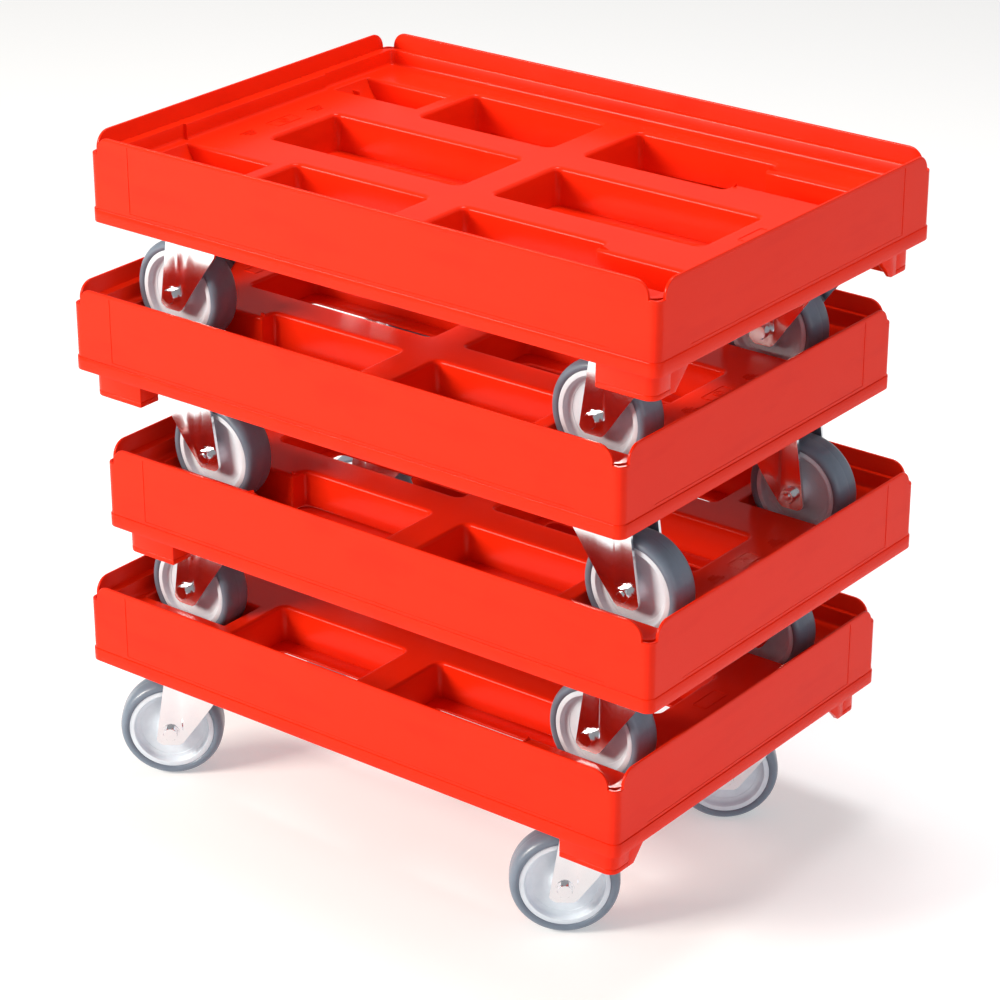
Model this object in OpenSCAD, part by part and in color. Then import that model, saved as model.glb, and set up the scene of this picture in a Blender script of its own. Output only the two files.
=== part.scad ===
// A stack of four open-deck box dollies. The origin is on the floor under the middle of the stack,
// X runs along the long side, Y along the short side and Z is up.

/* [Deck] */
// Length of each deck over the bottom lip
deck_l = 620; // [560:5:680]
// Width of each deck over the bottom lip
deck_w = 420; // [380:5:480]
// Height of the rim wall
rim_h = 81; // [74:1:96]
// Thickness of the rim wall
wall = 3; // [2.5:0.5:4]
// Outer radius of the vertical corners
corner_r = 9; // [7:1:14]
// How far the rim is cut down at each corner
notch_drop = 16; // [14:1:20]
// Radius of the rounded end of each wall beside a corner
shoulder_r = 14; // [10:1:14]
// Distance from a deck corner to the end of each wall's top edge
notch_reach = 11; // [10:1:14]
// Height of the lip round the bottom of the rim
lip_h = 13; // [8:1:16]
// How far the lip and the corner panels stand out
lip_out = 1; // [0.5:0.1:1.5]
// Distance from a corner to the edge of the recessed wall panel
panel_inset = 48; // [40:1:60]
// Depth of the recessed wall panels
panel_depth = 0.5; // [0.3:0.1:0.8]
// Thickness of the wall above the ledge
top_wall = 2.5; // [2:0.5:3.5]
// Distance from the outside to the inner wall on the long sides
side_band = 9; // [8:0.5:12]
// Distance from the outside to the inner wall on the short sides
end_band = 16; // [12:0.5:20]

/* [Deck floor] */
// Height of the load surface above the bottom of the rim
floor_z = 50; // [46:1:54]
// Thickness of the load surface
skin = 3.5; // [3:0.5:5]
// Thickness of the pocket and well walls
pocket_wall = 3; // [2.5:0.5:4]
// Height of the flange at the bottom of a pocket
pocket_z = 14; // [8:1:24]
// Corner radius of the pockets
pocket_r = 7; // [5:0.5:9]
// Thickness of the flange round the bottom of a pocket
flange_t = 3; // [2:0.5:4]
// How far the flange reaches in from the ends of a pocket
flange_x = 12; // [8:1:16]
// How far the flange reaches in from the long sides of a pocket
flange_y = 18; // [12:1:22]
// Width of the rib between the left and right pockets
middle_rib = 38; // [30:1:48]
// Width of the middle pockets
middle_pocket_w = 94; // [80:1:100]
// Width of the ribs between the rows of pockets
row_rib = 40; // [34:1:48]
// Distance from the outer pockets to the outside of the long sides
edge_rib = 36; // [34:1:44]
// Width of the rib between the outer pockets and the wheel wells
well_rib = 13; // [10:1:20]
// Thickness of the stiffening ribs below the load surface
rib = 2.5; // [2:0.5:3]
// Height of the bottom edge of the stiffening ribs
rib_z = 24; // [18:1:32]

/* [Wheel wells] */
// Width of the ledge between the wells and the inner walls at the ends
well_end = 2; // [1:0.5:6]
// Distance of the wells and castors from the long sides of the deck
castor_side = 82; // [78:1:86]
// Gap between a parked fork and the side of its well
well_side_gap = 2; // [1.5:0.5:3]
// Height of the bottom of a wheel well above the bottom of the rim
well_z = 19; // [18:1:24]
// Gap round a parked wheel
well_gap = 4; // [3.5:0.5:5]
// Gap under a parked wheel
park_gap = 0.2; // [0.1:0.1:0.5]

/* [Stack] */
// Angle that the bottom wheels are turned from the long side
bottom_turn = 37; // [0:1:60]

/* [Castors] */
// Wheel diameter
wheel_d = 100; // [84:1:110]
// Height from the top of the wheel to the top plate
head_room = 28; // [26:1:36]
// Width of the tyre
tyre_w = 32; // [28:1:36]
// Thickness of the tyre's tread
tread_t = 9; // [7:0.5:12]
// Distance from swivel axis to axle
trail = 34; // [32:1:36]
// Length of the top plate
plate_l = 104; // [100:1:108]
// Width of the top plate
plate_w = 84; // [80:1:88]
// Thickness of the top plate
plate_t = 3; // [2.5:0.5:4]
// Distance from the edges of the top plate to its screw holes
hole_inset = 12; // [10:0.5:13]
// Diameter of the top plate's screws
screw_d = 8; // [6:0.5:8.5]
// Diameter of the kingpin
kingpin_d = 12; // [10:1:14]
// Diameter of the axle bolt
axle_d = 8; // [6:1:10]
// Wall of the spacer tube that the hub turns on
spacer_wall = 2; // [1.5:0.25:2.5]
// Thickness of the fork's sheet steel
fork_t = 3; // [2.5:0.5:3.5]
// Gap between the tyre and each leg of the fork
leg_gap = 2.5; // [2:0.1:3]
// Radial running clearance of the kingpin and hub
run_gap = 0.05; // [0.02:0.01:0.1]

/* [Hidden] */
$fn = 64;
DOLLIES = [1 : 4];
PLACES = ["front_left", "front_right", "back_left", "back_right"];
SIDE = [[-1, -1], [1, -1], [-1, 1], [1, 1]];

// Each dolly is stepped sideways so that its trailing wheels drop into the wells of the one below.
nest_step = trail - 2;
well_r = wheel_d / 2 + well_gap;
castor_x = deck_l / 2 - end_band - well_r - well_end;
castor_y = deck_w / 2 - castor_side;
castor_h = wheel_d + head_room;
fork_gap = tyre_w + 2 * leg_gap;

// The bearing pads hang a little below the rim, and everything on a castor hangs from them.
pad_drop = 3;
deck_z = castor_h + pad_drop;
pitch = deck_z + well_z + park_gap;
well_w = fork_gap + 2 * (fork_t + well_side_gap);
well_axle_z = well_z + park_gap + wheel_d / 2;
ledge_z = rim_h - notch_drop;
ledge_t = 3;
inner_l = deck_l - 2 * end_band;
inner_w = deck_w - 2 * side_band;
inner_r = 4;
inner_wall = 2.5;
wall_l = deck_l - 2 * lip_out;
wall_w = deck_w - 2 * lip_out;
eps = 0.01;

// Pockets, as [x0, y0, x1, y1]
mid_y = middle_pocket_w / 2;
row_y = mid_y + row_rib;
edge_y = deck_w / 2 - edge_rib;
rib_x = middle_rib / 2;
mid_x = castor_x;
outer_x = castor_x - well_r - well_rib;
POCKETS = [
    [-mid_x, -mid_y, -rib_x, mid_y],
    [rib_x, -mid_y, mid_x, mid_y],
    [-outer_x, row_y, -rib_x, edge_y],
    [-outer_x, -edge_y, -rib_x, -row_y],
    [rib_x, row_y, outer_x, edge_y],
    [rib_x, -edge_y, outer_x, -row_y]
];

// Castor pads under the wells
hole_dx = plate_l - 2 * hole_inset;
hole_dy = plate_w - 2 * hole_inset;
pad_l = plate_l + 4;
pad_w = plate_w + 4;
pad_roof = 3;
pad_top = well_z - pocket_wall;
boss_r = screw_d / 2 + 3.5;
screw_gap = 0.1;
screw_l = 16;
head_r = screw_d / 2 + 2.5;
head_t = 4;

// Corner feet beside the castors on the open-well side
foot_l = 58;
foot_w = 24;
foot_drop = 27;
foot_inset = 12;
foot_r = 10;
foot_wall = 3;
gusset_w = 26;
gusset_t = 6;

// Swivel head, in heights below the top plate's upper face
race_z = plate_t + 3;
crown_z = race_z + 6;
race_r = kingpin_d / 2 + 13;
ball_r = 2.9;
cup_r = race_r + 9;
cup_wall = 2.5;
crown_r = cup_r + 5;
rivet_r = kingpin_d / 2 + 3;
rivet_t = 3;

// Fork leg and wheel
leg_r = 14;
leg_step = 1.2;
boss_w = fork_gap - 2 * run_gap;
hub_d = wheel_d - 2 * tread_t;
spacer_d = axle_d + 2 * spacer_wall;
hub_boss_r = spacer_d / 2 + 5;
hub_web = 7;
hub_lip = 5;
hub_rim_w = tyre_w - 3;
tyre_round = 8;
axle_head_r = axle_d / 2 + 2.5;
axle_head_t = 5.3;
seat_gap = 0.04;

function deck_x(d) = (d % 2 == 0 ? 1 : -1) * nest_step / 2;
function deck_base(d) = deck_z + (d - 1) * pitch;
function turned(d) = d == 2 || d == 3;
function heading(d) = d == 1 ? 180 + bottom_turn : d == 3 ? 0 : 180;

// ---- Outlines ----

module rounded(l, w, r) {
    square([l - 2 * r, w], center = true);
    square([l, w - 2 * r], center = true);
    for (sx = [-1, 1], sy = [-1, 1])
        translate([sx * (l / 2 - r), sy * (w / 2 - r)]) circle(r = r);
}

module ring(l, w, r, t) {
    difference() {
        rounded(l, w, r);
        rounded(l - 2 * t, w - 2 * t, max(r - t, 0.5));
    }
}

module box_outline(b, grow, r) {
    translate([(b[0] + b[2]) / 2, (b[1] + b[3]) / 2])
        rounded(b[2] - b[0] + 2 * grow, b[3] - b[1] + 2 * grow, r + grow);
}

module slab(z0, z1) {
    translate([0, 0, z0]) linear_extrude(z1 - z0) children();
}

module block(x0, x1, y0, y1, z0, z1) {
    translate([x0, y0, z0]) cube([x1 - x0, y1 - y0, z1 - z0]);
}

// ---- Deck ----

// A pocket with its bottom edge turned in as a flange
module pocket_hole(b) {
    slab(pocket_z, floor_z + 1) box_outline(b, 0, pocket_r);
    slab(pocket_z - flange_t - 1, pocket_z + 1)
        box_outline([b[0] + flange_x, b[1] + flange_y, b[2] - flange_x, b[3] - flange_y], 0, pocket_r);
}

// A wall panel above the ledge, standing on the XZ plane with its top corners rounded
module top_panel(length) {
    r = min(shoulder_r, notch_drop - 1);
    rotate([90, 0, 0]) linear_extrude(top_wall, center = true) {
        translate([-length / 2 + r, 0]) square([length - 2 * r, notch_drop]);
        translate([-length / 2, 0]) square([length, notch_drop - r]);
        for (s = [-1, 1]) translate([s * (length / 2 - r), notch_drop - r]) circle(r = r);
    }
}

module rim() {
    slab(0, lip_h) ring(deck_l, deck_w, corner_r, wall + lip_out);
    slab(0, ledge_z) ring(wall_l, wall_w, corner_r - lip_out, wall);
    slab(ledge_z - ledge_t, ledge_z) difference() {
        rounded(wall_l, wall_w, corner_r - lip_out);
        rounded(inner_l, inner_w, inner_r);
    }
    slab(floor_z - skin, ledge_z)
        ring(inner_l + 2 * inner_wall, inner_w + 2 * inner_wall, inner_r + inner_wall, inner_wall);
    for (s = [-1, 1]) {
        translate([0, s * (wall_w - top_wall) / 2, ledge_z]) top_panel(deck_l - 2 * notch_reach);
        translate([s * (wall_l - top_wall) / 2, 0, ledge_z])
            rotate([0, 0, 90]) top_panel(deck_w - 2 * notch_reach);
    }
}

// Shallow recesses in the outside of the four walls, above the lip
module wall_panels() {
    z0 = lip_h + 3;
    z1 = ledge_z + notch_drop - 3;
    for (s = [-1, 1]) {
        translate([0, s * wall_w / 2, (z0 + z1) / 2])
            cube([deck_l - 2 * panel_inset, 2 * panel_depth, z1 - z0], center = true);
        translate([s * wall_l / 2, 0, (z0 + z1) / 2])
            cube([2 * panel_depth, deck_w - 2 * panel_inset, z1 - z0], center = true);
    }
}

module wheel_bowl(grow) {
    intersection() {
        translate([castor_x, 0, well_axle_z]) rotate([90, 0, 0])
            cylinder(r = well_r + grow, h = well_w + 2 * grow, center = true);
        block(0, deck_l / 2, -well_w, well_w, well_z - grow, floor_z + (grow > 0 ? 0 : 1));
    }
}

// The wells at one end are closed bowls, and at the other end they open into the outer pockets.
module well(open, grow) {
    wheel_bowl(grow);
    if (open)
        block(outer_x - (grow > 0 ? 0 : pocket_r), castor_x, -well_w / 2 - grow, well_w / 2 + grow,
            well_z - grow, floor_z + (grow > 0 ? 0 : 1));
}

module wells(grow) {
    for (s = [-1, 1]) translate([0, s * castor_y, 0]) {
        well(true, grow);
        mirror([1, 0, 0]) well(false, grow);
    }
}

module castor_pad() {
    slab(-pad_drop, pad_top) ring(pad_l, pad_w, 8, pocket_wall);
    slab(pad_top - pad_roof, pad_top) rounded(pad_l, pad_w, 8);
    for (sx = [-1, 1], sy = [-1, 1]) translate([sx * hole_dx / 2, sy * hole_dy / 2, 0]) {
        slab(-pad_drop, pad_top) circle(r = boss_r);
        block(-rib / 2, rib / 2, min(0, sy * (pad_w - hole_dy) / 2), max(0, sy * (pad_w - hole_dy) / 2),
            -pad_drop, pad_top);
    }
    for (sy = [-1, 1])
        block(-hole_dx / 2, hole_dx / 2, sy * hole_dy / 2 - rib / 2, sy * hole_dy / 2 + rib / 2,
            -pad_drop, pad_top);
}

module screw_holes() {
    for (sx = [-1, 1], sy = [-1, 1])
        translate([sx * hole_dx / 2, sy * hole_dy / 2, -pad_drop - eps])
            cylinder(d = screw_d + 2 * screw_gap, h = screw_l + 1);
}

module under_ribs() {
    y_out = wall_w / 2 - wall;
    x_out = wall_l / 2 - wall;
    for (s = [-1, 1]) {
        for (x = [-castor_x, -outer_x + 40, -rib_x - 40, 0, rib_x + 40, outer_x - 40, castor_x])
            block(x - rib / 2, x + rib / 2, min(s * edge_y, s * y_out), max(s * edge_y, s * y_out),
                rib_z, floor_z - skin);
        for (x = [-mid_x + 30, -mid_x / 2, mid_x / 2, mid_x - 30])
            block(x - rib / 2, x + rib / 2, min(s * mid_y, s * row_y), max(s * mid_y, s * row_y),
                rib_z, floor_z - skin);
        for (y = [-mid_y, 0, mid_y])
            block(min(s * mid_x, s * x_out), max(s * mid_x, s * x_out), y - rib / 2, y + rib / 2,
                rib_z, floor_z - skin);
        for (y = [-castor_y, -mid_y / 2, mid_y / 2, castor_y])
            block(-rib_x, rib_x, y - rib / 2, y + rib / 2, rib_z, floor_z - skin);
        for (sy = [-1, 1])
            block(min(s * (castor_x + 40), s * x_out), max(s * (castor_x + 40), s * x_out),
                sy * castor_y - rib / 2, sy * castor_y + rib / 2, rib_z, floor_z - skin);
    }
}

module corner_foot() {
    x1 = deck_l / 2 - foot_inset;
    y1 = deck_w / 2 - foot_inset - 1;
    x0 = x1 - foot_l;
    y0 = y1 - foot_w;
    difference() {
        slab(-foot_drop, floor_z - skin) {
            translate([x0, y0]) square([foot_l, foot_w - foot_r]);
            translate([x0, y0]) square([foot_l - foot_r, foot_w]);
            translate([x1 - foot_r, y1 - foot_r]) circle(r = foot_r);
        }
        block(x0 + foot_wall, x1 - foot_wall, y0 - 1, y1 - foot_wall - foot_r / 3,
            foot_wall - foot_drop, floor_z);
    }
    translate([x1 - gusset_t, 0, 0]) rotate([90, 0, 90]) linear_extrude(gusset_t)
        polygon([
            [y0 + 1, -foot_drop], [y0 - gusset_w / 4, -foot_drop],
            [y0 - gusset_w, -foot_drop / 4], [y0 - gusset_w, floor_z - skin], [y0 + 1, floor_z - skin]
        ]);
}

// The mark plate moulded on the load surface at the open-well end
module mark_plate() {
    mark_l = 36;
    mark_w = 15;
    mark_t = 0.6;
    translate([mid_x + 22, 4, 0]) slab(floor_z - eps, floor_z + mark_t)
        difference() {
            rounded(mark_w, mark_l, 1.5);
            rounded(mark_w - 2, mark_l - 2, 1);
        }
}

module deck_body() {
    difference() {
        union() {
            rim();
            slab(floor_z - skin, floor_z)
                rounded(inner_l + 2 * inner_wall, inner_w + 2 * inner_wall, inner_r + inner_wall);
            for (b = POCKETS) slab(pocket_z - flange_t, floor_z - eps) box_outline(b, pocket_wall, pocket_r);
            wells(pocket_wall);
            under_ribs();
            for (sx = [-1, 1], sy = [-1, 1]) translate([sx * castor_x, sy * castor_y, 0]) castor_pad();
            for (sy = [0, 1]) mirror([0, sy, 0]) corner_foot();
            mark_plate();
        }
        for (b = POCKETS) pocket_hole(b);
        wells(0);
        wall_panels();
        for (sx = [-1, 1], sy = [-1, 1]) translate([sx * castor_x, sy * castor_y, 0]) screw_holes();
    }
}

// ---- Castor, hanging from the origin with its wheel trailing along +X ----

module hex(r, h) {
    cylinder(r = r, h = h, $fn = 6);
}

module top_plate() {
    difference() {
        union() {
            slab(-plate_t, 0) rounded(plate_l, plate_w, 8);
            translate([0, 0, -race_z]) cylinder(r = race_r + 4, h = race_z - plate_t + eps);
        }
        for (sx = [-1, 1], sy = [-1, 1])
            translate([sx * hole_dx / 2, sy * hole_dy / 2, -plate_t - 1])
                cylinder(d = screw_d + 1, h = plate_t + 2);
        translate([0, 0, -race_z - 1]) cylinder(d = kingpin_d, h = race_z + 2);
    }
}

module ball_ring() {
    translate([0, 0, -(race_z + crown_z) / 2])
        rotate_extrude() translate([race_r, 0]) circle(r = ball_r, $fn = 32);
}

module kingpin() {
    rotate_extrude() polygon([
        [0, 2], [kingpin_d / 2 + 1.5, 2], [kingpin_d / 2 + 2.5, 0], [kingpin_d / 2, 0],
        [kingpin_d / 2, -crown_z - fork_t - run_gap * 4],
        [rivet_r, -crown_z - fork_t - run_gap * 4],
        [rivet_r - 1, -crown_z - fork_t - rivet_t],
        [0, -crown_z - fork_t - rivet_t]
    ]);
}

module plate_screw() {
    translate([0, 0, -plate_t]) {
        cylinder(d = screw_d, h = screw_l + plate_t - 1);
        translate([0, 0, -1.2]) cylinder(r = head_r + 1.5, h = 1.2);
        translate([0, 0, -1.2 - head_t]) hex(head_r, head_t);
    }
}

// Outline of a fork leg in the plane of the wheel, with the axle at the origin
module leg_outline() {
    top = castor_h - wheel_d / 2 - crown_z;
    edge = leg_r * 0.6;
    polygon([
        [leg_r, -edge], [leg_r * 0.2, top], [-trail - crown_r * 0.7, top],
        [-trail - crown_r * 0.7, top - 12], [-trail - 4, top * 0.36], [-leg_r, -edge],
        [-edge, -leg_r], [edge, -leg_r]
    ]);
    for (s = [-1, 1]) translate([s * edge, -edge + 0.5]) circle(r = leg_r - edge - 0.5);
}

// The part of the leg ahead of the pressed step
module leg_step_outline() {
    intersection() {
        leg_outline();
        translate([-trail - crown_r, -leg_r * 0.2]) square([trail + crown_r - leg_r * 0.8, castor_h]);
    }
}

module fork_legs() {
    for (s = [-1, 1]) translate([0, s * (fork_gap + fork_t) / 2, 0]) rotate([90, 0, 0]) {
        linear_extrude(fork_t, center = true) leg_outline();
        translate([0, 0, -s * leg_step / 2])
            linear_extrude(fork_t + leg_step, center = true) leg_step_outline();
    }
}

module fork_steel() {
    axle = [trail, 0, wheel_d / 2 - castor_h];
    outer = fork_gap + 2 * fork_t;
    difference() {
        union() {
            translate([0, 0, -crown_z - fork_t]) cylinder(r = crown_r, h = fork_t);
            block(-crown_r * 0.7, trail + leg_r * 0.2, -outer / 2, outer / 2, -crown_z - fork_t, -crown_z);
            translate([0, 0, -crown_z - eps]) difference() {
                cylinder(r = cup_r, h = crown_z - plate_t - 0.8);
                translate([0, 0, -1]) cylinder(r = cup_r - cup_wall, h = crown_z);
            }
            translate(axle) fork_legs();
        }
        translate([0, 0, -crown_z - fork_t - 1]) cylinder(d = kingpin_d + 2 * run_gap, h = fork_t + 2);
        translate(axle) rotate([90, 0, 0])
            cylinder(d = axle_d + 2 * seat_gap, h = 2 * outer, center = true);
    }
}

// Axle bolt, its nut and the spacer tube that it clamps between the legs
module axle_set() {
    seat = fork_gap / 2 + fork_t + seat_gap;
    translate([trail, 0, wheel_d / 2 - castor_h]) rotate([90, 0, 0]) {
        difference() {
            cylinder(d = spacer_d, h = fork_gap - 2 * seat_gap, center = true);
            cylinder(d = axle_d + 2 * seat_gap, h = fork_gap + 1, center = true);
        }
        translate([0, 0, -seat - axle_head_t - 2]) cylinder(d = axle_d, h = 2 * seat + axle_head_t + 3);
        translate([0, 0, seat]) hex(axle_head_r, axle_head_t);
        translate([0, 0, -seat - axle_head_t]) difference() {
            hex(axle_head_r, axle_head_t);
            translate([0, 0, -1]) cylinder(d = axle_d + 2 * seat_gap, h = axle_head_t + 2);
        }
    }
}

module at_axle() {
    translate([trail, 0, wheel_d / 2 - castor_h]) rotate([90, 0, 0]) children();
}

module wheel_hub() {
    r = hub_d / 2;
    bore = spacer_d / 2 + run_gap;
    half = [boss_w / 2 - 0.2, hub_web / 2, hub_rim_w / 2];
    at_axle() rotate_extrude() polygon([
        [bore, -half[0]], [hub_boss_r, -half[0]], [hub_boss_r + 3, -half[1] - 1],
        [r * 0.55, -half[1]], [r - hub_lip - 2, -half[1] - 3], [r - hub_lip, -half[2]], [r, -half[2]],
        [r, half[2]], [r - hub_lip, half[2]], [r - hub_lip - 2, half[1] + 3], [r * 0.55, half[1]],
        [hub_boss_r + 3, half[1] + 1], [hub_boss_r, half[0]], [bore, half[0]]
    ]);
}

module wheel_tyre() {
    r0 = hub_d / 2;
    r1 = wheel_d / 2;
    at_axle() rotate_extrude() {
        translate([r0, -tyre_w / 2 + 1]) square([1, tyre_w - 2]);
        translate([r0, -tyre_w / 2 + tyre_round]) square([r1 - r0, tyre_w - 2 * tyre_round]);
        intersection() {
            for (s = [-1, 1]) translate([r1 - tyre_round, s * (tyre_w / 2 - tyre_round)])
                circle(r = tyre_round);
            translate([r0, -tyre_w]) square([r1, 2 * tyre_w]);
        }
        translate([r0, -tyre_w / 2]) square([max(r1 - tyre_round - r0, 0.5), tyre_w]);
    }
}

// ---- Placing ----

module at_deck(d) {
    translate([deck_x(d), 0, deck_base(d)]) children();
}

module at_castor(d, i) {
    at_deck(d) translate([SIDE[i][0] * castor_x, SIDE[i][1] * castor_y, -pad_drop]) children();
}

module deck(d) {
    color("red") at_deck(d) rotate([0, 0, turned(d) ? 180 : 0]) deck_body();
}

module castor_plates(d) {
    color("silver") for (i = [0 : 3]) at_castor(d, i) {
        top_plate();
        ball_ring();
        kingpin();
    }
}

module plate_screws(d) {
    color("gainsboro") for (i = [0 : 3]) at_castor(d, i)
        for (sx = [-1, 1], sy = [-1, 1]) translate([sx * hole_dx / 2, sy * hole_dy / 2, 0]) plate_screw();
}

module fork(d, i) {
    color("silver") at_castor(d, i) rotate([0, 0, heading(d)]) {
        fork_steel();
        axle_set();
    }
}

module hub(d, i) {
    color("whitesmoke") at_castor(d, i) rotate([0, 0, heading(d)]) wheel_hub();
}

module tyre(d, i) {
    color("lightslategray") at_castor(d, i) rotate([0, 0, heading(d)]) wheel_tyre();
}

for (d = DOLLIES) {
    deck(d);
    castor_plates(d);
    plate_screws(d);
    for (i = [0 : 3]) {
        fork(d, i);
        hub(d, i);
        tyre(d, i);
    }
}
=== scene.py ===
# A nested stack of four box dollies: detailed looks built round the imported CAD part.
import math
import bpy
import bmesh
from mathutils import Matrix, Vector


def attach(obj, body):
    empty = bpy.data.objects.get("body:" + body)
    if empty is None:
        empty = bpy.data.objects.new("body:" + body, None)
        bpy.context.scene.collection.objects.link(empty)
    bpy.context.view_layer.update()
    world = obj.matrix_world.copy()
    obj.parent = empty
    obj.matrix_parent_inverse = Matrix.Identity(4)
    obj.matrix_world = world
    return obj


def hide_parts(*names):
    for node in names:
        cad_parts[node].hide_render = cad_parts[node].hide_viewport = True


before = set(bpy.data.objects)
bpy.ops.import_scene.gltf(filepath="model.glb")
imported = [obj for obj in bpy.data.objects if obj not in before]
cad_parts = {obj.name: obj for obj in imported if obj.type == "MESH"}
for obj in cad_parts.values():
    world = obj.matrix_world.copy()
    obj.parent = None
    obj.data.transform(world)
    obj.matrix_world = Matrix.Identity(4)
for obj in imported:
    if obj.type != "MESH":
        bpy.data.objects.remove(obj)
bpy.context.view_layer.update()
MM = 0.001

# ---- Sizes, in millimetres, as the CAD part has them ----

HX, HY = 310.0, 210.0            # half the deck over its lip
CORNER_R = 9                     # corner radius in plan
RIM_H, LEDGE_Z, FLOOR_Z = 81.0, 65.0, 50.0
# Half lengths along the long and the short sides: the recessed panel, and the straight top of the wall
PANEL_LONG, FLAT_LONG = 262, 285
PANEL_SHORT, FLAT_SHORT = 162, 185
SHOULDER_R = 14.0                # rounding where a wall drops to the corner
JOG_HALF, JOG = 98, 3.0          # half width and depth of the drawn-in middle of the short sides
CASTOR_X, CASTOR_Y = 238.0, 128.0
PAD_DROP, CASTOR_H, WHEEL_D, TRAIL = 3.0, 128.0, 100.0, 34.0
WELL_Z, WELL_W, WELL_R = 19.0, 47.0, 54.0
WELL_Y0, WELL_Y1 = CASTOR_Y - WELL_W / 2, CASTOR_Y + WELL_W / 2
PARK_GAP = 0.2                   # below a parked wheel
WELL_AXLE = WELL_Z + PARK_GAP + WHEEL_D / 2
POCKET_Z = 14.0
FLANGE_X, FLANGE_Y = 12.0, 18.0
POCKETS = ((-238, -47, -19, 47), (19, -47, 238, 47), (-171, 87, -19, 174), (-171, -174, -19, -87),
           (19, 87, 171, 174), (19, -174, 171, -87))
INNER_X, INNER_Y = 294.0, 201.0
SHEET = 3                        # thickness of the deck's skin and of the forks' steel
RIB_HALF, RIB_Z, RIB_TOP = 1.25, 24.0, FLOOR_Z - 3.4
FOOT_Z, FOOT_T = -27, 5          # bottom of the corner feet, and their thickness there
PITCH = CASTOR_H + PAD_DROP + WELL_Z + PARK_GAP
STEP_X = (TRAIL - 2) / 2         # sideways step of each deck from the middle
PLACES = ("front_left", "front_right", "back_left", "back_right")
SIDES = ((-1, -1), (1, -1), (-1, 1), (1, 1))


def deck_x(d):
    return STEP_X if d % 2 == 0 else -STEP_X


def deck_base(d):
    return CASTOR_H + PAD_DROP + (d - 1) * PITCH


def heading(d):
    """Direction in which the castors of a dolly trail."""
    return math.radians({1: 217, 3: 0}.get(d, 180))


# ---- Materials ----

def material(name, color, rough, metal=0.0, coat=0.0, coat_rough=0.1, spec=0.5):
    m = bpy.data.materials.new(name)
    m.use_nodes = True
    b = m.node_tree.nodes["Principled BSDF"]
    b.inputs["Base Color"].default_value = (*color, 1)
    b.inputs["Roughness"].default_value = rough
    b.inputs["Metallic"].default_value = metal
    b.inputs["Coat Weight"].default_value = coat
    b.inputs["Coat Roughness"].default_value = coat_rough
    b.inputs["Specular IOR Level"].default_value = spec
    m.diffuse_color = (*color, 1)
    return m, b, m.node_tree.nodes, m.node_tree.links


def object_coords(nodes, links, scale):
    tc = nodes.new("ShaderNodeTexCoord")
    mp = nodes.new("ShaderNodeMapping")
    mp.inputs["Scale"].default_value = scale
    links.new(tc.outputs["Object"], mp.inputs["Vector"])
    return mp


def noise(nodes, links, coords, scale, detail=3.0, rough=0.55):
    n = nodes.new("ShaderNodeTexNoise")
    n.inputs["Scale"].default_value = scale
    n.inputs["Detail"].default_value = detail
    n.inputs["Roughness"].default_value = rough
    links.new(coords.outputs[0], n.inputs["Vector"])
    return n


def ramp(nodes, links, src, stops):
    r = nodes.new("ShaderNodeValToRGB")
    while len(r.color_ramp.elements) < len(stops):
        r.color_ramp.elements.new(0.5)
    for e, (pos, col) in zip(r.color_ramp.elements, stops):
        e.position = pos
        e.color = (*col, 1) if len(col) == 3 else (col[0], col[0], col[0], 1)
    links.new(src, r.inputs["Fac"])
    return r


def spread(nodes, links, src, low, high):
    r = nodes.new("ShaderNodeMapRange")
    r.inputs["To Min"].default_value = low
    r.inputs["To Max"].default_value = high
    links.new(src, r.inputs["Value"])
    return r


def bump(nodes, links, bsdf, height, strength, distance, before=None):
    b = nodes.new("ShaderNodeBump")
    b.inputs["Strength"].default_value = strength
    b.inputs["Distance"].default_value = distance
    links.new(height, b.inputs["Height"])
    if before is not None:
        links.new(before.outputs["Normal"], b.inputs["Normal"])
    links.new(b.outputs["Normal"], bsdf.inputs["Normal"])
    return b


def red_plastic():
    """Semi-gloss moulded ABS: faint flow streaks, a fine grain and slow waviness."""
    m, b, n, k = material("red_abs", (0.80, 0.020, 0.003), 0.24, coat=0.03, coat_rough=0.1, spec=0.09)
    coords = object_coords(n, k, (1, 1, 1))
    flow = noise(n, k, object_coords(n, k, (1.2, 1.2, 7)), 9, 3)
    blotch = noise(n, k, coords, 14, 4)
    mix = n.new("ShaderNodeMath")
    mix.operation = "ADD"
    k.new(flow.outputs["Fac"], mix.inputs[0])
    k.new(blotch.outputs["Fac"], mix.inputs[1])
    tint = ramp(n, k, spread(n, k, mix.outputs[0], -0.5, 0.5).outputs[0],
                [(0.25, (0.77, 0.018, 0.003)), (0.75, (0.83, 0.024, 0.004))])
    k.new(tint.outputs["Color"], b.inputs["Base Color"])
    k.new(spread(n, k, blotch.outputs["Fac"], 0.19, 0.30).outputs[0], b.inputs["Roughness"])
    grain = noise(n, k, coords, 1300, 1)
    wave = noise(n, k, coords, 11, 1)
    first = bump(n, k, b, wave.outputs["Fac"], 0.3, 0.0015)
    bump(n, k, b, grain.outputs["Fac"], 0.03, 0.00008, before=first)
    return m


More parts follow.
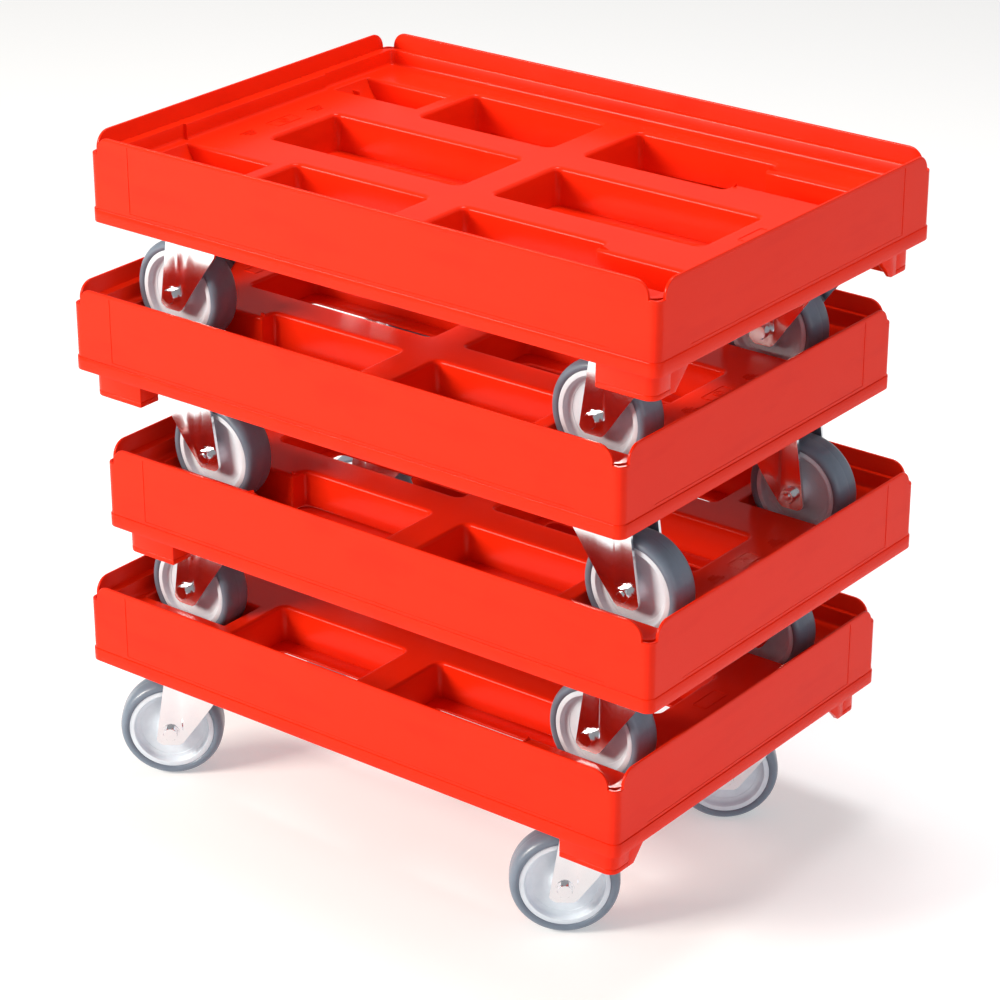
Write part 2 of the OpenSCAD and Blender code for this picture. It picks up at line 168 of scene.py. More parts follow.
def zinc():
    """Bright zinc plate on pressed steel: soft drawn streaks and cloudy blue-white variation."""
    m, b, n, k = material("zinc_plate", (0.75, 0.77, 0.8), 0.25, metal=1.0)
    coords = object_coords(n, k, (1, 1, 1))
    cloud = noise(n, k, coords, 28, 3)
    streak = noise(n, k, object_coords(n, k, (6, 6, 1)), 45, 2)
    tint = ramp(n, k, cloud.outputs["Fac"], [(0.3, (0.74, 0.76, 0.80)), (0.7, (0.84, 0.85, 0.87))])
    k.new(tint.outputs["Color"], b.inputs["Base Color"])
    k.new(spread(n, k, streak.outputs["Fac"], 0.12, 0.19).outputs[0], b.inputs["Roughness"])
    bump(n, k, b, cloud.outputs["Fac"], 0.06, 0.0004)
    return m


def hub_plastic():
    """Light grey polypropylene: cloudy, with a fine grain."""
    m, b, n, k = material("hub_polypropylene", (0.68, 0.75, 0.83), 0.36, spec=0.45)
    coords = object_coords(n, k, (1, 1, 1))
    cloud = noise(n, k, coords, 70, 4)
    tint = ramp(n, k, cloud.outputs["Fac"], [(0.3, (0.64, 0.71, 0.79)), (0.7, (0.72, 0.79, 0.86))])
    k.new(tint.outputs["Color"], b.inputs["Base Color"])
    k.new(spread(n, k, cloud.outputs["Fac"], 0.36, 0.5).outputs[0], b.inputs["Roughness"])
    bump(n, k, b, noise(n, k, coords, 2200, 2).outputs["Fac"], 0.08, 0.0002)
    return m


def tyre_rubber():
    """Blue-grey rubber: dusty patches over a fine grain."""
    m, b, n, k = material("tyre_rubber", (0.15, 0.195, 0.255), 0.36, coat=0.15, coat_rough=0.15, spec=0.45)
    coords = object_coords(n, k, (1, 1, 1))
    dust = noise(n, k, coords, 45, 6, 0.65)
    tint = ramp(n, k, dust.outputs["Fac"], [(0.3, (0.135, 0.175, 0.230)), (0.75, (0.175, 0.220, 0.285))])
    k.new(tint.outputs["Color"], b.inputs["Base Color"])
    k.new(spread(n, k, dust.outputs["Fac"], 0.28, 0.42).outputs[0], b.inputs["Roughness"])
    bump(n, k, b, noise(n, k, coords, 1400, 3).outputs["Fac"], 0.15, 0.0003)
    return m


RED, ZINC, HUB, TYRE = red_plastic(), zinc(), hub_plastic(), tyre_rubber()


# ---- Mesh helpers ----

def new_mesh(name, bm, mat, angle=32):
    bmesh.ops.remove_doubles(bm, verts=bm.verts, dist=0.02)
    bmesh.ops.dissolve_degenerate(bm, edges=bm.edges, dist=0.005)
    bmesh.ops.scale(bm, vec=(MM, MM, MM), verts=bm.verts)
    me = bpy.data.meshes.new(name)
    bm.to_mesh(me)
    bm.free()
    me.materials.append(mat)
    me.shade_smooth()
    me.set_sharp_from_angle(angle=math.radians(angle))
    return me


def place(name, me, matrix, body):
    o = bpy.data.objects.new(name, me)
    bpy.context.scene.collection.objects.link(o)
    o.matrix_world = matrix
    bpy.context.view_layer.update()
    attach(o, body)
    return o


def bake(name, me, *mods):
    """A mesh with modifiers applied. Each modifier is (type, {settings})."""
    o = bpy.data.objects.new(name, me)
    bpy.context.scene.collection.objects.link(o)
    for i, (kind, values) in enumerate(mods):
        mod = o.modifiers.new(f"m{i}", kind)
        for key, value in values.items():
            setattr(mod, key, value)
    graph = bpy.context.evaluated_depsgraph_get()
    out = bpy.data.meshes.new_from_object(o.evaluated_get(graph), depsgraph=graph)
    bpy.data.objects.remove(o)
    out.name = name
    return out


def grid(bm, rows, close_u=True, close_v=False):
    """Quads between rows of points; rows run along v, points along u."""
    vs = [[bm.verts.new(p) for p in row] for row in rows]
    nr = len(vs)
    for j in range(nr if close_v else nr - 1):
        a, b = vs[j], vs[(j + 1) % nr]
        n = len(a)
        for i in range(n if close_u else n - 1):
            q = (a[i], a[(i + 1) % n], b[(i + 1) % n], b[i])
            bm.faces.new(q)
    return vs


# ---- The deck: rim, load surface with its pockets and wells, and what is under it ----

def side_stations(length, panel, flat, end, r):
    """Positions along one side of the rim: the panel's edges, the rounded shoulders and a few between."""
    pts = [0, 60, 120, 180, panel - 0.5, panel]
    pts = [p for p in pts if p <= panel]
    pts += [panel + 0.02, flat - 6, flat]
    pts += [flat + r * math.sin(math.radians(a)) for a in range(9, 91, 9)]
    pts += [end + 0.02, length]
    pts = sorted(set(round(p, 3) for p in pts))
    return [-p for p in reversed(pts) if p > 0] + pts


LONG = side_stations(HX - CORNER_R, PANEL_LONG, FLAT_LONG, FLAT_LONG + 14, 14)
SHORT = side_stations(HY - CORNER_R, PANEL_SHORT, FLAT_SHORT, FLAT_SHORT + 14, 14)
SHORT = sorted(set(SHORT + [s * v for s in (-1, 1) for v in (97.6, 98.6)]))
ARC = [math.radians(90 * i / 10) for i in range(11)]


def rim_top(p, flat, r=SHOULDER_R):
    """Height of the top edge at a distance along a side."""
    p = abs(p)
    if p <= flat:
        return RIM_H
    if p <= flat + r + 0.001:
        return RIM_H - r + math.sqrt(max(r * r - (p - flat) ** 2, 0))
    return LEDGE_Z


def stations():
    """Every station round the rim, as (kind, place, height of the top edge, inside a wall panel or not)."""
    out = []
    for side in range(4):
        values = LONG if side % 2 == 0 else SHORT
        panel, flat = (PANEL_LONG, FLAT_LONG) if side % 2 == 0 else (PANEL_SHORT, FLAT_SHORT)
        for v in values:
            out.append((side, v, rim_top(v, flat), abs(v) <= panel))
        for a in ARC[1:-1]:
            out.append((side + 4, a, LEDGE_Z, False))
    return out


STATIONS = stations()


def loop(hx, hy, r, jog=0.0, panel=0.0):
    """The points of a rounded rectangle at every station. jog draws the middle of the short sides in."""
    pts = []
    for kind, v, _, inside in STATIONS:
        p = panel if inside else 0.0
        if kind < 4:
            lx, ly = hx - r, hy - r
            if kind == 0:
                pts.append((max(-lx, min(lx, v)), -hy + p))
            elif kind == 1:
                pts.append((hx - p - (jog if abs(v) < JOG_HALF else 0), max(-ly, min(ly, v))))
            elif kind == 2:
                pts.append((-max(-lx, min(lx, v)), hy - p))
            else:
                pts.append((-hx + p + (jog if abs(v) < JOG_HALF else 0), -max(-ly, min(ly, v))))
        else:
            c = ((1, -1), (1, 1), (-1, 1), (-1, -1))[kind - 4]
            start = math.radians(-90 + 90 * (kind - 4))
            pts.append((c[0] * (hx - r) + r * math.cos(start + v), c[1] * (hy - r) + r * math.sin(start + v)))
    return pts


def rim_mesh():
    """The wall: rows from the outside of the lip, over the top edge, to the inside of the foot."""
    bm = bmesh.new()
    # (distance in from the outside, height, depth of the panel). The height of a row over the top edge is
    # measured from that edge, which drops to the ledge at the corners
    profile = [(1.0, 0.0, 0), (0.3, 0.3, 0), (0, 1.0, 0), (0, 12.3, 0), (0.3, 12.9, 0), (1.0, 13.2, 0),
               (1.0, 15.9, 0), (1.0, 16.3, 0.4), (1.0, 77.2, 0.4), (1.0, 77.6, 0),
               (1.0, -0.9, 0), (1.25, -0.3, 0), (1.7, 0, 0), (2.9, 0, 0), (3.35, -0.3, 0), (3.6, -0.9, 0),
               (3.6, 66.0, 0), (4.0, 64.9, 0), (4.0, 60.0, 0), (4.0, 0.5, 0), (3.6, 0.0, 0)]
    first_over, first_inside, below_edge = 10, 14, 16
    rows = []
    for i, (o, z, panel) in enumerate(profile):
        r = max(CORNER_R - o, 1.0)
        pts = loop(HX - o, HY - o, r, panel=panel)
        row = []
        for (x, y), (_, _, top, _) in zip(pts, STATIONS):
            if first_over <= i < below_edge:
                zz = top + (z if top > LEDGE_Z or i < first_inside else 0)
            elif i == below_edge:
                zz = min(z, top)
            else:
                zz = min(z, top - 1.0) if z > LEDGE_Z else z
            row.append((x, y, zz))
        rows.append(row)
    grid(bm, rows, close_v=True)
    bmesh.ops.recalc_face_normals(bm, faces=bm.faces)
    return new_mesh("deck_rim", bm, RED)


def rounded_outline(x0, y0, x1, y1, r, n=6):
    """Outline as (x, y, normal x, normal y), anticlockwise, the normals pointing out of the hole."""
    pts = []
    corners = ((x1 - r, y0 + r, -90), (x1 - r, y1 - r, 0), (x0 + r, y1 - r, 90), (x0 + r, y0 + r, 180))
    for cx, cy, a0 in corners:
        for i in range(n + 1):
            a = math.radians(a0 + 90 * i / n)
            pts.append((cx + r * math.cos(a), cy + r * math.sin(a), math.cos(a), math.sin(a)))
    return pts


def bowl_depth(x):
    """Height of the well's bottom at a distance along it, up to the load surface."""
    d = x - CASTOR_X
    if abs(d) >= WELL_R:
        return FLOOR_Z
    z = WELL_AXLE - math.sqrt(max(WELL_R ** 2 - d * d, 0))
    return min(max(z, WELL_Z), FLOOR_Z)


FILLET = 3.6
STEPS = [(FILLET * (1 - math.sin(math.radians(a))), FILLET * (1 - math.cos(math.radians(a))))
         for a in (0, 18, 36, 54, 72, 90)]


def wall_levels(bottom):
    """(outward offset, height) down a wall: a rounded top edge, then a slight draft to the bottom."""
    out = [(FILLET + 1.2, FLOOR_Z)]
    out += [(o, max(FLOOR_Z - d, bottom)) for o, d in STEPS]
    out += [(-0.35, max(min(FLOOR_Z - 14, bottom + 12), bottom)), (-0.6, bottom)]
    return out


def strip(bm, outline, bottoms, closed=True):
    rows = []
    for level in range(len(wall_levels(0))):
        row = []
        for (x, y, nx, ny), zb in zip(outline, bottoms):
            o, z = wall_levels(zb)[level]
            row.append((x + nx * o, y + ny * o, z))
        rows.append(row)
    return grid(bm, rows, close_u=closed)


def well_stations(open_end):
    """Positions along a well, from its open or rounded inner end to its outer end."""
    far = CASTOR_X + math.sqrt(WELL_R ** 2 - (WELL_AXLE - FLOOR_Z) ** 2)
    arc = [CASTOR_X + WELL_R * math.sin(math.radians(a)) for a in (22, 30, 38, 46, 53, 60, 65)]
    outer = [x for x in arc if x < far - 0.7] + [far - 0.3]
    if open_end:
        return [171.0, 190.0, 214.0] + outer, far
    inner = [2 * CASTOR_X - x for x in reversed(outer)]
    return inner + outer, far


def rounded_polyline(corners, n=6):
    """Outline round corners (x, y, radius), as (x, y, normal x, normal y). The hole is on the left."""
    pts = []
    m = len(corners)
    for i in range(m):
        x, y, r = corners[i]
        px, py, _ = corners[i - 1]
        qx, qy, _ = corners[(i + 1) % m]
        a = Vector((x - px, y - py)).normalized()
        b = Vector((qx - x, qy - y)).normalized()
        turn = a.x * b.y - a.y * b.x
        na, nb = Vector((a.y, -a.x)), Vector((b.y, -b.x))
        if r <= 0:
            mid = (na + nb) / (1 + na.dot(nb))
            pts.append((x, y, mid.x, mid.y))
            continue
        start = Vector((x, y)) - a * r
        centre = start - na * r if turn > 0 else start + na * r
        for k in range(n + 1):
            t = k / n
            ang = math.radians(90 * t)
            normal = na * math.cos(ang) + nb * math.sin(ang)
            p = centre + normal * r if turn > 0 else centre - normal * r
            pts.append((p.x, p.y, normal.x, normal.y))
    return pts


def curved_bottom(bm, one, other):
    """Joins two walls of a well station by station."""
    for i in range(len(one) - 1):
        bm.faces.new((one[i], one[i + 1], other[i + 1], other[i]))


def closed_well(bm, s):
    """A well with two long walls and a curved bottom that rises at both ends. s is the side of the deck."""
    xs, far = well_stations(False)
    near = 2 * CASTOR_X - far
    low = [(x, WELL_Y0, 0, -1) for x in xs]
    high = [(x, WELL_Y1, 0, 1) for x in reversed(xs)]
    outline = [(near - 1.2, WELL_Y0, -0.25, -1)] + low + [(far + 1.2, WELL_Y0, 0.25, -1)]
    outline += [(far + 1.2, WELL_Y1, 0.25, 1)] + high + [(near - 1.2, WELL_Y1, -0.25, 1)]
    depth = [bowl_depth(x) for x in xs]
    bottoms = [FLOOR_Z] + depth + [FLOOR_Z] * 2 + list(reversed(depth)) + [FLOOR_Z]
    outline = [(-x, s * y, -nx, s * ny) for x, y, nx, ny in outline]
    last = strip(bm, outline, bottoms)[-1]
    n = len(xs)
    curved_bottom(bm, [last[0]] + last[1:n + 1] + [last[n + 1]],
                  [last[-1]] + list(reversed(last[n + 3:2 * n + 3])) + [last[n + 2]])


def open_well(bm, s):
    """A well that opens into the outer pocket, in one outline with it. s is the side of the deck."""
    xs, far = well_stations(True)
    y0, y1 = 87.0, 174.0
    # the pocket's two sharp ends are dropped, and the end faces and the well's walls added
    core = rounded_polyline([(171, y1, 0), (19, y1, 7), (19, y0, 7), (171, y0, 0)])[1:-1]
    end_hi = [(165.0, y1, 0, 1), (169.2, y1 - 0.5, 0.4, 0.95), (171.0, y1 - 2.5, 1, 0.15),
              (171.0, WELL_Y1 + 3.0, 1, 0.0), (171.9, WELL_Y1 + 0.9, 0.75, 0.66)]
    end_lo = [(171.9, WELL_Y0 - 0.9, 0.75, -0.66), (171.0, WELL_Y0 - 3.0, 1, 0.0),
              (171.0, y0 + 2.5, 1, -0.15), (169.2, y0 + 0.5, 0.4, -0.95), (165.0, y0, 0, -1)]
    wx = [174.0] + xs[1:]
    hi = [(x, WELL_Y1, 0, 1) for x in reversed(wx)]
    lo = [(x, WELL_Y0, 0, -1) for x in wx]
    tip = [(far + 1.2, WELL_Y0, 0.25, -1), (far + 1.2, WELL_Y1, 0.25, 1)]
    outline = lo + tip + hi + list(reversed(end_hi)) + core + list(reversed(end_lo))
    depth = [bowl_depth(x) if x > CASTOR_X else WELL_Z for x in wx]
    bottoms = depth + [FLOOR_Z] * 2 + list(reversed(depth)) + [POCKET_Z + 2] * len(end_hi)
    bottoms += [POCKET_Z] * len(core) + [POCKET_Z + 2] * len(end_lo)
    outline = [(x, s * y, nx, s * ny) for x, y, nx, ny in outline]
    last = strip(bm, outline, bottoms)[-1]
    n = len(wx)
    curved_bottom(bm, last[:n + 1], list(reversed(last[n + 1:2 * n + 2])))


def sheet_mesh():
    """The load surface with its pockets, wells, inner walls and ledge, as one thick skin."""
    bm = bmesh.new()
    # (distance in, height) across the ledge, down the inner wall and over its foot
    profile = ((-12.6, 65.0), (-1.3, 65.0), (-0.4, 64.75), (0.0, 64.0), (0.35, 53.4), (0.75, 51.6),
               (1.8, 50.4), (3.3, 50.0), (4.6, 50.0))
    rows = []
    for o, z in profile:
        hx, hy, jog = INNER_X + JOG - o, INNER_Y - o, JOG
        if o < -5:
            hx, hy, jog = HX - 3.7, HY - 3.7, 0.0
        rows.append([(x, y, z) for x, y in loop(hx, hy, max(5.0 - o, 1.5), jog=jog)])
    grid(bm, rows)
    # middle pockets and the closed-end outer pockets
    for b in POCKETS[:4]:
        out = rounded_outline(*b, 7.0)
        strip(bm, out, [POCKET_Z] * len(out))
    for s in (-1, 1):
        closed_well(bm, s)
        open_well(bm, s)
    bmesh.ops.remove_doubles(bm, verts=bm.verts, dist=0.02)
    edges = []
    for e in bm.edges:
        if len(e.link_faces) == 1 and all(abs(v.co.z - FLOOR_Z) < 1e-4 for v in e.verts):
            edges.append(e)
    bmesh.ops.triangle_fill(bm, use_beauty=True, use_dissolve=False, edges=edges, normal=(0, 0, 1))
    bmesh.ops.recalc_face_normals(bm, faces=bm.faces)
    up = sum(f.normal.z * f.calc_area() for f in bm.faces)
    if up < 0:
        bmesh.ops.reverse_faces(bm, faces=bm.faces)
    me = new_mesh("deck_sheet_open", bm, RED)
    me = bake("deck_sheet", me,
              ("SOLIDIFY", {"thickness": SHEET * MM, "offset": -1.0, "use_even_offset": False}))
    me.shade_smooth()
    me.set_sharp_from_angle(angle=math.radians(34))
    return me


def box(bm, x0, x1, y0, y1, z0, z1):
    if x0 > x1:
        x0, x1 = x1, x0
    if y0 > y1:
        y0, y1 = y1, y0
    middle = Matrix.Translation(((x0 + x1) / 2, (y0 + y1) / 2, (z0 + z1) / 2))
    bmesh.ops.create_cube(bm, size=1, matrix=middle @ Matrix.Diagonal((x1 - x0, y1 - y0, z1 - z0, 1)))


def circle(r, n, x=0.0, y=0.0):
    return [(x + r * math.cos(math.tau * i / n), y + r * math.sin(math.tau * i / n)) for i in range(n)]


def prism(bm, pts, z0, z1):
    a = [bm.verts.new((x, y, z0)) for x, y in pts]
    b = [bm.verts.new((x, y, z1)) for x, y in pts]
    n = len(pts)
    for i in range(n):
        bm.faces.new((a[i], a[(i + 1) % n], b[(i + 1) % n], b[i]))
    bm.faces.new(list(reversed(a)))
    bm.faces.new(b)


def ring(bm, outer, inner, z0, z1):
    rows = [[(x, y, z) for x, y in pts] for pts, z in ((outer, z0), (outer, z1), (inner, z1), (inner, z0))]
    grid(bm, rows, close_v=True)


def under_mesh():
    """Pocket flanges, ribs, castor pads and corner feet."""
    bm = bmesh.new()
    for x0, y0, x1, y1 in POCKETS:
        outer = [p[:2] for p in rounded_outline(x0 - 2.4, y0 - 2.4, x1 + 2.4, y1 + 2.4, 9.4)]
        inner = [p[:2] for p in rounded_outline(x0 + FLANGE_X, y0 + FLANGE_Y,
                                                x1 - FLANGE_X, y1 - FLANGE_Y, 7)]
        ring(bm, outer, inner, POCKET_Z - 3, POCKET_Z + 0.1)
    t, z, top = RIB_HALF, RIB_Z, RIB_TOP
    y_out, x_out = HY - 4.5, HX - 4.5
    for s in (-1, 1):
        for x in (-CASTOR_X, -131, -59, 0, 59, 131, CASTOR_X):
            box(bm, x - t, x + t, s * 177.2, s * y_out, z, top)
        for x in (-208, -119, 119, 208):
            box(bm, x - t, x + t, s * 50.2, s * 83.8, z, top)
        for y in (-47, 0, 47):
            box(bm, s * 241.2, s * x_out, y - t, y + t, z, top)
        for y in (-CASTOR_Y, -23.5, 23.5, CASTOR_Y):
            box(bm, -15.8, 15.8, y - t, y + t, z, top)
        # the ribs behind the wells. They reach about 8 mm into the ends of the wells, which the CAD part's
        # ribs don't
        for sy in (-1, 1):
            box(bm, s * 278, s * x_out, sy * CASTOR_Y - t, sy * CASTOR_Y + t, z, 44)
    for sx in (-1, 1):
        for sy in (-1, 1):
            cx, cy = sx * CASTOR_X, sy * CASTOR_Y
            outer = [(cx + p[0], cy + p[1]) for p in rounded_outline(-54, -44, 54, 44, 8)]
            inner = [(cx + p[0], cy + p[1]) for p in rounded_outline(-51, -41, 51, 41, 5)]
            ring(bm, outer, inner, -3, 16.2)
            prism(bm, inner, 13, 16.2)
            for ax in (-40, 40):
                for ay in (-30, 30):
                    prism(bm, circle(7.5, 24, cx + ax, cy + ay), -3, 13.5)
            for ay in (-30, 30):
                box(bm, cx - 40, cx + 40, cy + ay - t, cy + ay + t, -2.9, 13.5)
    # corner feet at the open-well end
    for s in (-1, 1):
        pts = [(240, 173), (298, 173), (298, 187)]
        pts += [p for p in circle(10, 36, 288, 187)[:10]]
        pts += [(240, 197)]
        foot = [(x, s * y) for x, y in pts]
        prism(bm, foot if s > 0 else list(reversed(foot)), FOOT_Z, FOOT_Z + FOOT_T)
        inner = [(243, 176), (295, 176), (295, 186.5)]
        inner += [p for p in circle(7.5, 36, 287.5, 186.5)[:10]]
        inner += [(243, 194)]
        inner = [(x, s * y) for x, y in inner]
        ring(bm, foot, inner, -22.2, top)
        side = [(174, FOOT_Z), (166, FOOT_Z), (147, -7), (147, top), (174, top)]
        a = [bm.verts.new((292.2, s * y, zz)) for y, zz in side]
        b = [bm.verts.new((298, s * y, zz)) for y, zz in side]
        for i in range(5):
            bm.faces.new((a[i], a[(i + 1) % 5], b[(i + 1) % 5], b[i]))
        bm.faces.new(a)
        bm.faces.new(list(reversed(b)))
    bmesh.ops.recalc_face_normals(bm, faces=bm.faces)
    me = new_mesh("deck_under_sharp", bm, RED, 40)
    me = bake("deck_under", me, ("BEVEL", {"width": 0.0008, "segments": 2, "limit_method": "ANGLE",
                                           "angle_limit": math.radians(50), "use_clamp_overlap": True}))
    me.shade_smooth()
    me.set_sharp_from_angle(angle=math.radians(45))
    return me


def mark_mesh():
    """Plain raised moulding marks on the load surface: a label frame, a ring and two dashes."""
    bm = bmesh.new()
    z0, z1 = FLOOR_Z - 0.2, FLOOR_Z + 0.5
    def frame_of(x, y, hx, hy, t=1.0):
        o = [(x + p[0], y + p[1]) for p in rounded_outline(-hx, -hy, hx, hy, 1.6, 3)]
        i = [(x + p[0], y + p[1]) for p in rounded_outline(-hx + t, -hy + t, hx - t, hy - t, 0.9, 3)]
        ring(bm, o, i, z0, z1)
    frame_of(260, 4, 7.5, 18)
    frame_of(-262, 0, 8, 17)
    for y in (-48, 46):
        for k in range(3):
            frame_of(-266 + 4 * k, y, 1.2, 9 - 2 * k, 0.7)
    for r, t in ((5.5, 0.9), (2.6, 0.8)):
        ring(bm, circle(r, 28, -262), circle(r - t, 28, -262), z0, z1)
    bmesh.ops.recalc_face_normals(bm, faces=bm.faces)
    return new_mesh("deck_marks", bm, RED)


DECK_PARTS = {"rim": rim_mesh(), "floor": sheet_mesh(), "underside": under_mesh(), "marks": mark_mesh()}
for d in range(1, 5):
    m = Matrix.Translation((deck_x(d) * MM, 0, deck_base(d) * MM))
    if d in (2, 3):
        m = m @ Matrix.Rotation(math.pi, 4, "Z")
    for part, me in DECK_PARTS.items():
        o = place(f"dolly_{d}_{part}", me, m, f"dolly_{d}")
        if part == "rim":
            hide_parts(f"deck_{d}")

# ---- Castors: everything is drawn in the castor's own frame, trailing along +X, and shared ----

AXLE = Vector((TRAIL, 0, WHEEL_D / 2 - CASTOR_H))


def lathe(bm, profile, segments=80, close=True):
    """Turns (radius, y) round the axle."""
    rows = []
    for r, y in profile:
        rows.append([(AXLE.x + r * math.cos(math.tau * i / segments), AXLE.y + y,
                      AXLE.z + r * math.sin(math.tau * i / segments)) for i in range(segments)])
    return grid(bm, rows, close_v=close)


def both_sides(half):
    """A profile from one side to the other, from the half with y above 0."""
    return half + [(r, -y) for r, y in reversed(half)]


def tyre_mesh():
    bm = bmesh.new()
    half = [(40.9, 13.6), (41.1, 14.55), (41.7, 15.1), (42.8, 15.7), (44.2, 15.95), (45.6, 15.6),
            (47.0, 14.7), (48.2, 13.3), (49.1, 11.4), (49.7, 9.0), (49.95, 6.0), (50.0, 3.0), (50.0, 0.35)]
    lathe(bm, [(r, -y) for r, y in half] + [(49.9, 0)] + list(reversed(half)), 96)
    bmesh.ops.recalc_face_normals(bm, faces=bm.faces)
    return new_mesh("tyre_detail", bm, TYRE, 50)


def hub_mesh():
    bm = bmesh.new()
    half = [(6.1, 17.9), (6.5, 18.25), (10.4, 18.25), (11.0, 17.8), (11.4, 15.0), (12.4, 9.2), (13.4, 8.0),
            (15.0, 7.3), (21.0, 6.9), (28.5, 7.4), (30.6, 7.6), (31.0, 8.1), (33.6, 8.5), (34.8, 9.2),
            (35.4, 10.4), (36.0, 13.9), (36.5, 14.5), (40.4, 14.6), (40.9, 14.3), (41.0, 13.5)]
    lathe(bm, both_sides(half), 96)
    bmesh.ops.recalc_face_normals(bm, faces=bm.faces)
    return new_mesh("hub_detail", bm, HUB, 38)


LEG_TOP = CASTOR_H - WHEEL_D / 2 - 12.0
OUT_Y, BEND = 21.5, 7.0


def between(z, table):
    for (z0, a), (z1, b) in zip(table, table[1:]):
        if z <= z1:
            return a + (b - a) * (z - z0) / (z1 - z0)
    return table[-1][1]


def fork_mesh():
    """One pressed sheet: a leg on each side of the wheel, bent over into the crown, with a step."""
    bm = bmesh.new()
    lead = [(-14, -8.0), (-13, -9.6), (-11, -12.2), (-8.4, -14.2), (31.6, -43), (50, -56), (66, -57)]
    rear = [(-14, 7.5), (-12.5, 10.6), (-10.5, 12.9), (-8.4, 14.0), (66, 2.8)]
    zs = [-14, -13.6, -12.6, -11.2, -9.8, -8.0, -4, 2, 10, 18, 26, 34, 42, 49, 54, LEG_TOP - BEND]
    path = [(OUT_Y, z) for z in zs]
    for a in (15, 30, 45, 60, 75, 90):
        path.append((OUT_Y - BEND + BEND * math.cos(math.radians(a)),
                     LEG_TOP - BEND + BEND * math.sin(math.radians(a))))
    path += [(y, LEG_TOP) for y in (10, 6)]
    path = path + [(-y, z) for y, z in reversed(path)]
    rows = []
    for y, z in path:
        u0, u1 = between(min(z, 66), lead), between(min(z, 66), rear)
        if z > LEG_TOP - BEND:
            k = 1 - (abs(y) / OUT_Y)
            u0 = -TRAIL - math.sqrt(33 ** 2 - y * y) if abs(y) < 14 else u0 + (-TRAIL - 26 - u0) * k * 2.6
            u1 = u1 + (33 - TRAIL + 1.2 - u1) * min(k * 1.6, 1)
        crease = max(-10.5, u0 + 0.8)
        us = [u0, u0 + 0.5 * (crease - 2.6 - u0) if crease - 2.6 > u0 else u0 + 0.2]
        last = us[-1]
        us += [max(crease - 2.6, last + 0.15), max(crease - 1.8, last + 0.3)]
        us += [max(crease - 0.8, last + 0.45), max(crease, last + 0.6)]
        us += [us[-1] + (u1 - us[-1]) * t for t in (0.33, 0.66, 1.0)]
        lift = (1.5, 1.5, 1.5, 1.15, 0.35, 0.0, 0.0, 0.0, 0.0)
        fade = max(0.0, min(1.0, (z + 6) / 14)) * max(0.0, min(1.0, (LEG_TOP - z) / 9))
        s = 1 if y > 0 else -1
        rows.append([(AXLE.x + u, y + s * l * fade, AXLE.z + z) for u, l in zip(us, lift)])
    grid(bm, rows, close_u=False)
    bmesh.ops.recalc_face_normals(bm, faces=bm.faces)
    top = max(bm.faces, key=lambda f: f.calc_center_median().z)
    if top.normal.z < 0:
        bmesh.ops.reverse_faces(bm, faces=bm.faces)
    me = new_mesh("fork_open", bm, ZINC)
    me = bake("fork_sheet", me,
              ("SOLIDIFY", {"thickness": SHEET * MM, "offset": -1.0, "use_even_offset": True}),
              ("BEVEL", {"width": 0.0006, "segments": 2, "limit_method": "ANGLE",
                         "angle_limit": math.radians(55)}))
    bm = bmesh.new()
    bm.from_mesh(me)
    bmesh.ops.scale(bm, vec=(1000, 1000, 1000), verts=bm.verts)
    # the cup of the ball race on the crown
    cup = [(24.8, -12.2), (24.8, -5.6), (25.3, -4.4), (26.4, -3.9), (27.4, -4.4), (28.0, -5.8), (28.0, -9.0),
           (29.4, -11.0), (32.0, -12.2)]
    rows = [[(x, y, z) for x, y in circle(r, 64)] for r, z in cup]
    grid(bm, rows, close_v=True)
    return new_mesh("fork_detail", bm, ZINC, 40)


def bolt_mesh():
    """Axle bolt and lock nut, with the spacer tube between the legs. The nut's end is on the -Y side."""
    bm = bmesh.new()
    def turned_hex(y0, y1, r, dome):
        rows = []
        for y, k in ((y0, 0.0), (y1 - dome, 0.0), (y1, 1.0)):
            row = []
            for i in range(48):
                a = math.tau * i / 48
                flat = r * math.cos(math.pi / 6) / math.cos((a % (math.pi / 3)) - math.pi / 6)
                q = min(flat, r * 0.97) if k == 0 else r * 0.86
                row.append((AXLE.x + q * math.cos(a), y, AXLE.z + q * math.sin(a)))
            rows.append(row)
        vs = grid(bm, rows)
        bm.faces.new(vs[0])
        bm.faces.new(list(reversed(vs[-1])))
    turned_hex(21.6, 27.0, 7.3, 0.9)
    turned_hex(-21.6, -27.6, 7.3, -0.9)
    # thread end, with rings for the thread
    thread = [(4.0, -26), (4.0, -27.6), (3.6, -27.9), (4.0, -28.2), (3.6, -28.5), (4.0, -28.8), (3.5, -29.3),
              (2.0, -29.5)]
    bm.faces.new(lathe(bm, thread, 32, close=False)[-1])
    # washers and spacer
    for y0, y1, r, hole in ((21.4, 22.2, 8.6, 4.1), (-22.2, -21.4, 8.6, 4.1), (-18.4, 18.4, 5.9, 4.1)):
        lathe(bm, [(hole, y0), (r, y0), (r, y1), (hole, y1)], 40)
    bmesh.ops.recalc_face_normals(bm, faces=bm.faces)
    return new_mesh("axle_detail", bm, ZINC, 30)


CASTOR_PARTS = {"fork": fork_mesh(), "axle": bolt_mesh(), "hub": hub_mesh(), "tyre": tyre_mesh()}
for d in range(1, 5):
    for (sx, sy), where in zip(SIDES, PLACES):
        at = Matrix.Translation(((deck_x(d) + sx * CASTOR_X) * MM, sy * CASTOR_Y * MM,
                                 (deck_base(d) - PAD_DROP) * MM))
        m = at @ Matrix.Rotation(heading(d), 4, "Z")
        for part, me in CASTOR_PARTS.items():
            body = f"swivel_{d}_{where}" if part in ("fork", "axle") else f"wheel_{d}_{where}"
            o = place(f"{part}_{d}_{where}_detail", me, m, body)
            if part != "axle":
                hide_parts(f"{part}_{d}_{where}")

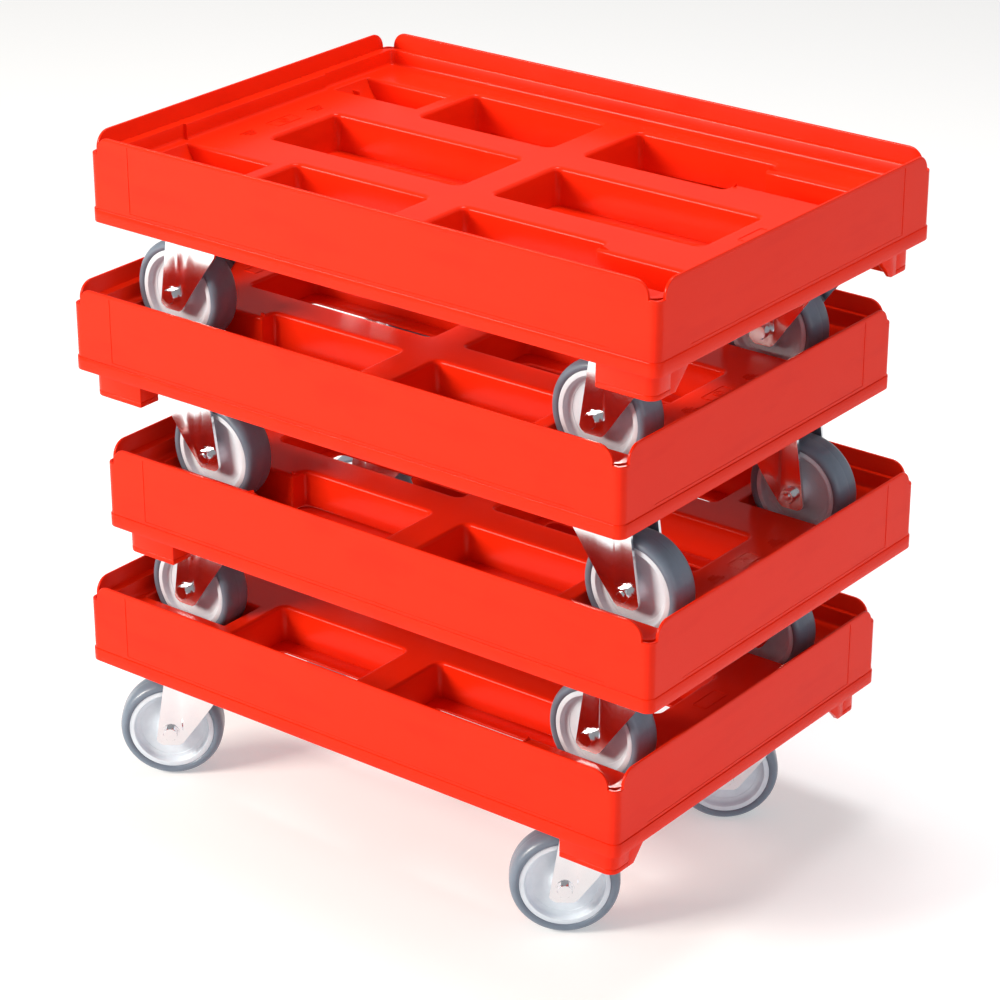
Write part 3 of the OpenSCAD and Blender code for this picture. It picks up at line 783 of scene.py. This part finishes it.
for name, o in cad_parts.items():
    if name.startswith(("castor_plates", "plate_screws")):
        o.data.materials.clear()
        o.data.materials.append(ZINC)

# ---- Floor, light and camera ----

def floor():
    """A wide pale floor just under the wheels."""
    me = bpy.data.meshes.new("studio_floor")
    s = 30.0
    me.from_pydata([(-s, -s, 0), (s, -s, 0), (s, s, 0), (-s, s, 0)], [], [(0, 1, 2, 3)])
    o = bpy.data.objects.new("studio_floor", me)
    bpy.context.scene.collection.objects.link(o)
    o.location.z = -0.0005
    m, b, n, k = material("studio_white", (0.7, 0.7, 0.7), 0.9, spec=0.1)
    b.inputs["Emission Color"].default_value = (1, 1, 1, 1)
    b.inputs["Emission Strength"].default_value = 0.36
    me.materials.append(m)


def area(name, loc, aim, size, power, color=(1, 1, 1)):
    data = bpy.data.lights.new(name, "AREA")
    data.shape = "RECTANGLE"
    data.size, data.size_y = size
    data.energy = power
    data.color = color
    o = bpy.data.objects.new(name, data)
    bpy.context.scene.collection.objects.link(o)
    o.location = loc
    o.rotation_euler = (Vector(aim) - Vector(loc)).to_track_quat("-Z", "Y").to_euler()


floor()
scene = bpy.context.scene
world = bpy.data.worlds.new("studio")
scene.world = world
world.use_nodes = True
world.node_tree.nodes["Background"].inputs["Color"].default_value = (1, 1, 1, 1)
world.node_tree.nodes["Background"].inputs["Strength"].default_value = 0.40
scene.view_settings.view_transform = "Standard"
scene.view_settings.look = "None"
area("key", (-1.9, -3.0, 1.9), (0, 0, 0.35), (1.5, 1.1), 185, (1.0, 0.94, 0.84))
area("top", (0.1, 0.4, 3.2), (0, 0, 0.3), (1.1, 0.9), 62)
area("side", (3.0, -0.7, 1.0), (0, 0, 0.35), (1.4, 1.6), 11, (0.9, 0.92, 1.0))

CAM_AZ, CAM_EL, CAM_DIST = math.radians(37.62), math.radians(24.43), 2.9897
SENSOR, LENS = 36, 116.028       # millimetres
TARGET = Vector((0.00464, 0.00358, 0.31247))
back = Vector((math.sin(CAM_AZ) * math.cos(CAM_EL), -math.cos(CAM_AZ) * math.cos(CAM_EL),
               math.sin(CAM_EL)))
cam = bpy.data.cameras.new("camera")
cam.lens = LENS
cam.sensor_width = SENSOR
cam.clip_end = 100
cam_obj = bpy.data.objects.new("camera", cam)
scene.collection.objects.link(cam_obj)
cam_obj.location = TARGET + back * CAM_DIST
cam_obj.rotation_euler = back.to_track_quat("Z", "Y").to_euler()
scene.camera = cam_obj
